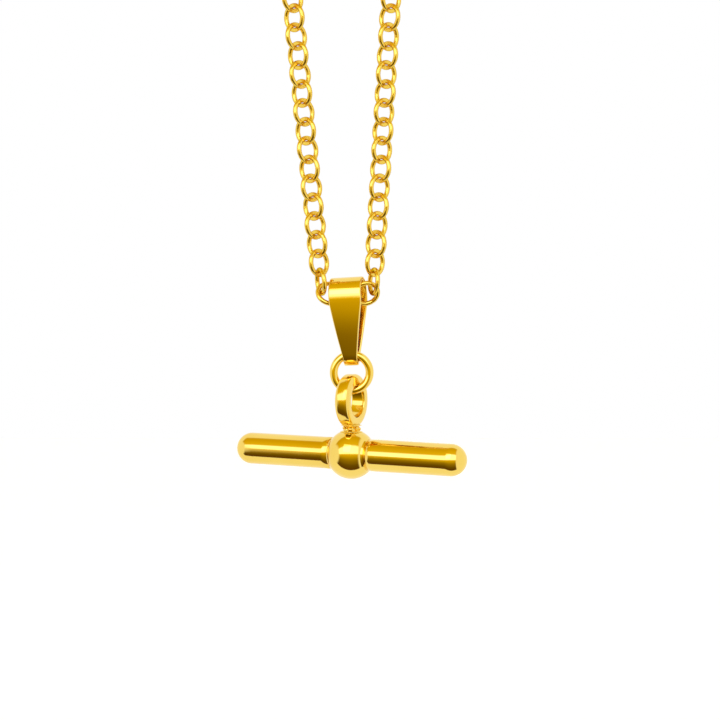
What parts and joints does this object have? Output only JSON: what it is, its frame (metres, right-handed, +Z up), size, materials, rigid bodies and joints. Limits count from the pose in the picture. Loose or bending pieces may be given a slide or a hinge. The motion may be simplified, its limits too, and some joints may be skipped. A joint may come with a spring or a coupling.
{
  "type": "t-bar chain pendant",
  "caption": "Gold-coloured T-bar pendant: round bar through a ball with a hoop, hung by a ring and tapered bail on a round-link chain closed by a trigger clasp.",
  "frame": {"origin": "on the clasp, where the closed chain is hung up", "axes": "+Z up, the chain hangs down -Z; both strands and the jump ring lie in the XZ plane; the front faces -Y; the bar's right end (+X) is turned towards the front"},
  "size_m": [0.0289, 0.0167, 0.0689],
  "materials": {
    "chain_gold": "polished gold plate",
    "clasp_gold": "polished gold plate",
    "bail_gold": "mirror polished gold plate",
    "ring_gold": "mirror polished gold plate",
    "bar_gold": "mirror polished gold plate",
    "spring_steel": "drawn wire"
  },
  "bodies": {
    "clasp": {"clasp_body": "clasp_gold", "clasp_pin": "clasp_gold", "clasp_spring": "spring_steel"},
    "clasp_gate": {"clasp_gate": "clasp_gold"},
    "clasp_ring": {"clasp_ring": "clasp_gold"},
    "end_ring": {"end_ring": "clasp_gold"},
    "left_link_01": {"left_link_01": "chain_gold"},
    "left_link_02": {"left_link_02": "chain_gold"},
    "left_link_03": {"left_link_03": "chain_gold"},
    "left_link_04": {"left_link_04": "chain_gold"},
    "left_link_05": {"left_link_05": "chain_gold"},
    "left_link_06": {"left_link_06": "chain_gold"},
    "left_link_07": {"left_link_07": "chain_gold"},
    "left_link_08": {"left_link_08": "chain_gold"},
    "left_link_09": {"left_link_09": "chain_gold"},
    "left_link_10": {"left_link_10": "chain_gold"},
    "left_link_11": {"left_link_11": "chain_gold"},
    "left_link_12": {"left_link_12": "chain_gold"},
    "left_link_13": {"left_link_13": "chain_gold"},
    "left_link_14": {"left_link_14": "chain_gold"},
    "left_link_15": {"left_link_15": "chain_gold"},
    "left_link_16": {"left_link_16": "chain_gold"},
    "right_link_01": {"right_link_01": "chain_gold"},
    "right_link_02": {"right_link_02": "chain_gold"},
    "right_link_03": {"right_link_03": "chain_gold"},
    "right_link_04": {"right_link_04": "chain_gold"},
    "right_link_05": {"right_link_05": "chain_gold"},
    "right_link_06": {"right_link_06": "chain_gold"},
    "right_link_07": {"right_link_07": "chain_gold"},
    "right_link_08": {"right_link_08": "chain_gold"},
    "right_link_09": {"right_link_09": "chain_gold"},
    "right_link_10": {"right_link_10": "chain_gold"},
    "right_link_11": {"right_link_11": "chain_gold"},
    "right_link_12": {"right_link_12": "chain_gold"},
    "right_link_13": {"right_link_13": "chain_gold"},
    "right_link_14": {"right_link_14": "chain_gold"},
    "right_link_15": {"right_link_15": "chain_gold"},
    "right_link_16": {"right_link_16": "chain_gold"},
    "centre_links": {"centre_link_left": "chain_gold", "centre_link_middle": "chain_gold", "centre_link_right": "chain_gold"},
    "bail": {"bail": "bail_gold"},
    "jump_ring": {"jump_ring": "ring_gold"},
    "t_bar": {"t_bar_left": "bar_gold", "t_bar_right": "bar_gold", "ball": "bar_gold", "hoop": "bar_gold"}
  },
  "joints": [
    {"name": "gate_open", "type": "hinge", "parent": "clasp", "child": "clasp_gate", "pos_m": [-0.001, 0, 0.0011], "axis": [0, 1, 0], "range_deg": [0, 22], "stiffness_Nm_per_rad": 0.0002, "springref_deg": -17.19},
    {"name": "clasp_ring_swing", "type": "hinge", "parent": "clasp", "child": "clasp_ring", "pos_m": [-0.0075, 0, -0.00343], "axis": [1, 0, 0], "range_deg": [-20, 20]},
    {"name": "end_ring_swing", "type": "hinge", "parent": "clasp", "child": "end_ring", "pos_m": [0.0049, 0, -0.00343], "axis": [1, 0, 0], "range_deg": [-20, 20]},
    {"name": "left_link_01_swing", "type": "hinge", "parent": "clasp_ring", "child": "left_link_01", "pos_m": [-0.0075, 0, -0.00424], "axis": [1, 0, 0], "range_deg": [-10, 10]},
    {"name": "left_link_02_swing", "type": "hinge", "parent": "left_link_01", "child": "left_link_02", "pos_m": [-0.00727, 0, -0.00658], "axis": [1, 0, 0], "range_deg": [-10, 10]},
    {"name": "left_link_03_swing", "type": "hinge", "parent": "left_link_02", "child": "left_link_03", "pos_m": [-0.00703, 0, -0.00891], "axis": [1, 0, 0], "range_deg": [-10, 10]},
    {"name": "left_link_04_swing", "type": "hinge", "parent": "left_link_03", "child": "left_link_04", "pos_m": [-0.0068, 0, -0.01125], "axis": [1, 0, 0], "range_deg": [-10, 10]},
    {"name": "left_link_05_swing", "type": "hinge", "parent": "left_link_04", "child": "left_link_05", "pos_m": [-0.00657, 0, -0.01359], "axis": [1, 0, 0], "range_deg": [-10, 10]},
    {"name": "left_link_06_swing", "type": "hinge", "parent": "left_link_05", "child": "left_link_06", "pos_m": [-0.00634, 0, -0.01593], "axis": [1, 0, 0], "range_deg": [-10, 10]},
    {"name": "left_link_07_swing", "type": "hinge", "parent": "left_link_06", "child": "left_link_07", "pos_m": [-0.0061, 0, -0.01826], "axis": [1, 0, 0], "range_deg": [-10, 10]},
    {"name": "left_link_08_swing", "type": "hinge", "parent": "left_link_07", "child": "left_link_08", "pos_m": [-0.00587, 0, -0.0206], "axis": [1, 0, 0], "range_deg": [-10, 10]},
    {"name": "left_link_09_swing", "type": "hinge", "parent": "left_link_08", "child": "left_link_09", "pos_m": [-0.00564, 0, -0.02294], "axis": [1, 0, 0], "range_deg": [-10, 10]},
    {"name": "left_link_10_swing", "type": "hinge", "parent": "left_link_09", "child": "left_link_10", "pos_m": [-0.0054, 0, -0.02528], "axis": [1, 0, 0], "range_deg": [-10, 10]},
    {"name": "left_link_11_swing", "type": "hinge", "parent": "left_link_10", "child": "left_link_11", "pos_m": [-0.00517, 0, -0.02762], "axis": [1, 0, 0], "range_deg": [-10, 10]},
    {"name": "left_link_12_swing", "type": "hinge", "parent": "left_link_11", "child": "left_link_12", "pos_m": [-0.00494, 0, -0.02995], "axis": [1, 0, 0], "range_deg": [-10, 10]},
    {"name": "left_link_13_swing", "type": "hinge", "parent": "left_link_12", "child": "left_link_13", "pos_m": [-0.00471, 0, -0.03229], "axis": [1, 0, 0], "range_deg": [-10, 10]},
    {"name": "left_link_14_swing", "type": "hinge", "parent": "left_link_13", "child": "left_link_14", "pos_m": [-0.00447, 0, -0.03463], "axis": [1, 0, 0], "range_deg": [-10, 10]},
    {"name": "left_link_15_swing", "type": "hinge", "parent": "left_link_14", "child": "left_link_15", "pos_m": [-0.00424, 0, -0.03696], "axis": [1, 0, 0], "range_deg": [-10, 10]},
    {"name": "left_link_16_swing", "type": "hinge", "parent": "left_link_15", "child": "left_link_16", "pos_m": [-0.00401, 0, -0.0393], "axis": [1, 0, 0], "range_deg": [-10, 10]},
    {"name": "right_link_01_swing", "type": "hinge", "parent": "end_ring", "child": "right_link_01", "pos_m": [0.0049, 0, -0.00424], "axis": [1, 0, 0], "range_deg": [-10, 10]},
    {"name": "right_link_02_swing", "type": "hinge", "parent": "right_link_01", "child": "right_link_02", "pos_m": [0.00476, 0, -0.00658], "axis": [1, 0, 0], "range_deg": [-10, 10]},
    {"name": "right_link_03_swing", "type": "hinge", "parent": "right_link_02", "child": "right_link_03", "pos_m": [0.00462, 0, -0.00891], "axis": [1, 0, 0], "range_deg": [-10, 10]},
    {"name": "right_link_04_swing", "type": "hinge", "parent": "right_link_03", "child": "right_link_04", "pos_m": [0.00448, 0, -0.01125], "axis": [1, 0, 0], "range_deg": [-10, 10]},
    {"name": "right_link_05_swing", "type": "hinge", "parent": "right_link_04", "child": "right_link_05", "pos_m": [0.00434, 0, -0.01359], "axis": [1, 0, 0], "range_deg": [-10, 10]},
    {"name": "right_link_06_swing", "type": "hinge", "parent": "right_link_05", "child": "right_link_06", "pos_m": [0.0042, 0, -0.01593], "axis": [1, 0, 0], "range_deg": [-10, 10]},
    {"name": "right_link_07_swing", "type": "hinge", "parent": "right_link_06", "child": "right_link_07", "pos_m": [0.00406, 0, -0.01826], "axis": [1, 0, 0], "range_deg": [-10, 10]},
    {"name": "right_link_08_swing", "type": "hinge", "parent": "right_link_07", "child": "right_link_08", "pos_m": [0.00392, 0, -0.0206], "axis": [1, 0, 0], "range_deg": [-10, 10]},
    {"name": "right_link_09_swing", "type": "hinge", "parent": "right_link_08", "child": "right_link_09", "pos_m": [0.00378, 0, -0.02294], "axis": [1, 0, 0], "range_deg": [-10, 10]},
    {"name": "right_link_10_swing", "type": "hinge", "parent": "right_link_09", "child": "right_link_10", "pos_m": [0.00364, 0, -0.02528], "axis": [1, 0, 0], "range_deg": [-10, 10]},
    {"name": "right_link_11_swing", "type": "hinge", "parent": "right_link_10", "child": "right_link_11", "pos_m": [0.0035, 0, -0.02762], "axis": [1, 0, 0], "range_deg": [-10, 10]},
    {"name": "right_link_12_swing", "type": "hinge", "parent": "right_link_11", "child": "right_link_12", "pos_m": [0.00336, 0, -0.02995], "axis": [1, 0, 0], "range_deg": [-10, 10]},
    {"name": "right_link_13_swing", "type": "hinge", "parent": "right_link_12", "child": "right_link_13", "pos_m": [0.00322, 0, -0.03229], "axis": [1, 0, 0], "range_deg": [-10, 10]},
    {"name": "right_link_14_swing", "type": "hinge", "parent": "right_link_13", "child": "right_link_14", "pos_m": [0.00308, 0, -0.03463], "axis": [1, 0, 0], "range_deg": [-10, 10]},
    {"name": "right_link_15_swing", "type": "hinge", "parent": "right_link_14", "child": "right_link_15", "pos_m": [0.00294, 0, -0.03696], "axis": [1, 0, 0], "range_deg": [-10, 10]},
    {"name": "right_link_16_swing", "type": "hinge", "parent": "right_link_15", "child": "right_link_16", "pos_m": [0.0028, 0, -0.0393], "axis": [1, 0, 0], "range_deg": [-10, 10]},
    {"name": "centre_links_swing", "type": "hinge", "parent": "left_link_16", "child": "centre_links", "pos_m": [-0.00377, 0, -0.04164], "axis": [1, 0, 0], "range_deg": [-10, 10]},
    {"name": "bail_swing", "type": "hinge", "parent": "centre_links", "child": "bail", "pos_m": [-0.0005, 0.00008, -0.0423], "axis": [0.9801, -0.1905, 0.0558], "range_deg": [-15, 15]},
    {"name": "jump_ring_slide", "type": "hinge", "parent": "bail", "child": "jump_ring", "pos_m": [-0.00008, 0, -0.05187], "axis": [0, 1, 0], "range_deg": [-15, 15]},
    {"name": "t_bar_swing", "type": "hinge", "parent": "jump_ring", "child": "t_bar", "pos_m": [-0.00008, 0, -0.05348], "axis": [1, 0, 0], "range_deg": [-15, 15]}
  ],
  "couplings": [
    {"joint": "end_ring_swing", "follows": "clasp_ring_swing", "ratio": 1},
    {"joint": "right_link_01_swing", "follows": "left_link_01_swing", "ratio": 1},
    {"joint": "right_link_02_swing", "follows": "left_link_02_swing", "ratio": 1},
    {"joint": "right_link_03_swing", "follows": "left_link_03_swing", "ratio": 1},
    {"joint": "right_link_04_swing", "follows": "left_link_04_swing", "ratio": 1},
    {"joint": "right_link_05_swing", "follows": "left_link_05_swing", "ratio": 1},
    {"joint": "right_link_06_swing", "follows": "left_link_06_swing", "ratio": 1},
    {"joint": "right_link_07_swing", "follows": "left_link_07_swing", "ratio": 1},
    {"joint": "right_link_08_swing", "follows": "left_link_08_swing", "ratio": 1},
    {"joint": "right_link_09_swing", "follows": "left_link_09_swing", "ratio": 1},
    {"joint": "right_link_10_swing", "follows": "left_link_10_swing", "ratio": 1},
    {"joint": "right_link_11_swing", "follows": "left_link_11_swing", "ratio": 1},
    {"joint": "right_link_12_swing", "follows": "left_link_12_swing", "ratio": 1},
    {"joint": "right_link_13_swing", "follows": "left_link_13_swing", "ratio": 1},
    {"joint": "right_link_14_swing", "follows": "left_link_14_swing", "ratio": 1},
    {"joint": "right_link_15_swing", "follows": "left_link_15_swing", "ratio": 1},
    {"joint": "right_link_16_swing", "follows": "left_link_16_swing", "ratio": 1}
  ]
}
